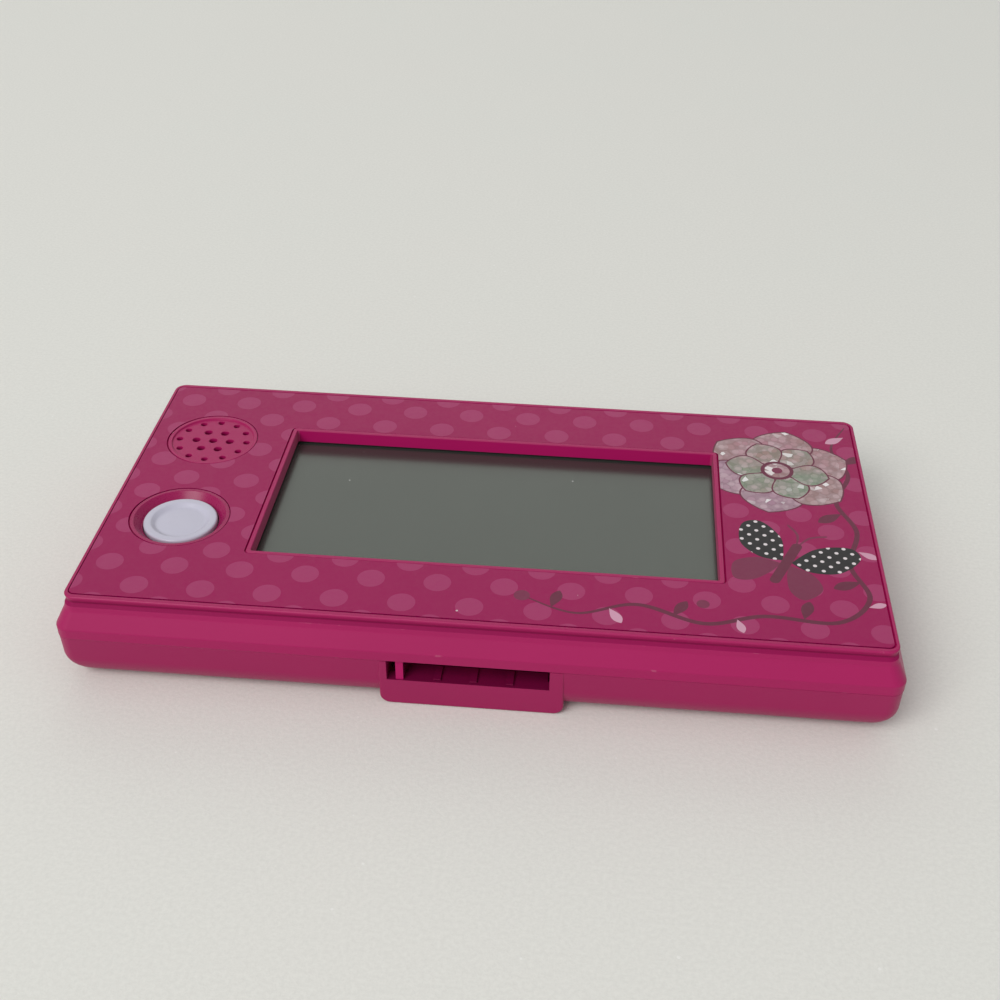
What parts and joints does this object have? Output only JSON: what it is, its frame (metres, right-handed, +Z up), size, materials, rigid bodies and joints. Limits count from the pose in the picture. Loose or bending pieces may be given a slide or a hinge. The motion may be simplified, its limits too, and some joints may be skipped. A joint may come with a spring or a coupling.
{
  "type": "clamshell handheld game console",
  "caption": "Flat pink clamshell handheld game console, closed, with a wide grey display window in its lid, a round push button, a pierced speaker grille and a front push latch.",
  "frame": {"origin": "middle of the flat underside, below the centre of the top face", "axes": "+X to the player's right, +Y from the front edge to the hinge, +Z up out of the lid"},
  "size_m": [0.1544, 0.0845, 0.0195],
  "materials": {
    "shell_pink": "satin moulded",
    "deck_pink": "fine texture",
    "label_print": "printed film",
    "display_grey": "unlit liquid crystal panel",
    "clear_lens": "clear",
    "frame_white": "moulded",
    "circuit_green": "solder mask",
    "chip_black": "potting resin",
    "keypad_rubber": "silicone",
    "button_white": "polished",
    "screw_steel": "zinc plated",
    "contact_nickel": "nickel plated",
    "cell_steel": "drawn can",
    "wire_black": "soft sheath",
    "foam_black": "foam",
    "speaker_dark": "paper and frame",
    "ribbon_amber": "polyimide film",
    "stud_rubber": "soft"
  },
  "bodies": {
    "base": {"base_shell": "shell_pink", "base_deck": "deck_pink", "main_board": "circuit_green", "game_chip": "chip_black", "direction_keypad": "keypad_rubber", "action_keypad": "keypad_rubber", "menu_keypad": "keypad_rubber", "battery_cells": "cell_steel", "battery_contacts": "contact_nickel", "battery_wires": "wire_black", "battery_door": "shell_pink", "door_contacts": "contact_nickel", "door_screw": "screw_steel", "board_screws": "screw_steel", "base_screws": "screw_steel", "hinge_pins": "screw_steel", "hinge_cable_base": "wire_black", "latch_spring": "screw_steel"},
    "lid": {"lid_shell": "shell_pink", "face_label": "label_print", "screen_gasket": "foam_black", "outer_display": "display_grey", "display_frame": "frame_white", "inner_display": "display_grey", "inner_lens": "clear_lens", "outer_ribbon": "ribbon_amber", "inner_ribbon": "ribbon_amber", "lid_board": "circuit_green", "power_dome": "keypad_rubber", "speaker": "speaker_dark", "speaker_gasket": "foam_black", "speaker_wires": "wire_black", "hinge_cable_lid": "wire_black", "lid_inner_cover": "deck_pink", "lid_screws": "screw_steel", "lid_bumpers": "stud_rubber"},
    "latch": {"latch_slider": "shell_pink"},
    "power_key": {"power_button": "button_white"},
    "up_key": {"up_button": "button_white"},
    "down_key": {"down_button": "button_white"},
    "left_key": {"left_button": "button_white"},
    "right_key": {"right_button": "button_white"},
    "near_action_key": {"near_action_button": "button_white"},
    "far_action_key": {"far_action_button": "button_white"},
    "start_key": {"start_button": "button_white"},
    "select_key": {"select_button": "button_white"}
  },
  "joints": [
    {"name": "lid_hinge", "type": "hinge", "parent": "base", "child": "lid", "pos_m": [0, 0.0412, 0.011], "axis": [-1, 0, 0], "range_deg": [0, 160]},
    {"name": "latch_slide", "type": "slide", "parent": "base", "child": "latch", "axis": [0, 1, 0], "range_m": [0, 0.0009], "stiffness_N_per_m": 700, "springref_m": -0.001, "deforming": ["latch_spring"]},
    {"name": "power_press", "type": "slide", "parent": "lid", "child": "power_key", "axis": [0, 0, -1], "range_m": [0, 0.0008], "stiffness_N_per_m": 1500, "springref_m": -0.0004, "deforming": ["power_dome"]},
    {"name": "up_press", "type": "slide", "parent": "base", "child": "up_key", "axis": [0, 0, -1], "range_m": [0, 0.0006], "stiffness_N_per_m": 1500, "springref_m": -0.0004, "deforming": ["direction_keypad"]},
    {"name": "down_press", "type": "slide", "parent": "base", "child": "down_key", "axis": [0, 0, -1], "range_m": [0, 0.0006], "stiffness_N_per_m": 1500, "springref_m": -0.0004},
    {"name": "left_press", "type": "slide", "parent": "base", "child": "left_key", "axis": [0, 0, -1], "range_m": [0, 0.0006], "stiffness_N_per_m": 1500, "springref_m": -0.0004},
    {"name": "right_press", "type": "slide", "parent": "base", "child": "right_key", "axis": [0, 0, -1], "range_m": [0, 0.0006], "stiffness_N_per_m": 1500, "springref_m": -0.0004},
    {"name": "near_action_press", "type": "slide", "parent": "base", "child": "near_action_key", "axis": [0, 0, -1], "range_m": [0, 0.0006], "stiffness_N_per_m": 1500, "springref_m": -0.0004, "deforming": ["action_keypad"]},
    {"name": "far_action_press", "type": "slide", "parent": "base", "child": "far_action_key", "axis": [0, 0, -1], "range_m": [0, 0.0006], "stiffness_N_per_m": 1500, "springref_m": -0.0004},
    {"name": "start_press", "type": "slide", "parent": "base", "child": "start_key", "axis": [0, 0, -1], "range_m": [0, 0.0006], "stiffness_N_per_m": 1500, "springref_m": -0.0004, "deforming": ["menu_keypad"]},
    {"name": "select_press", "type": "slide", "parent": "base", "child": "select_key", "axis": [0, 0, -1], "range_m": [0, 0.0006], "stiffness_N_per_m": 1500, "springref_m": -0.0004}
  ]
}
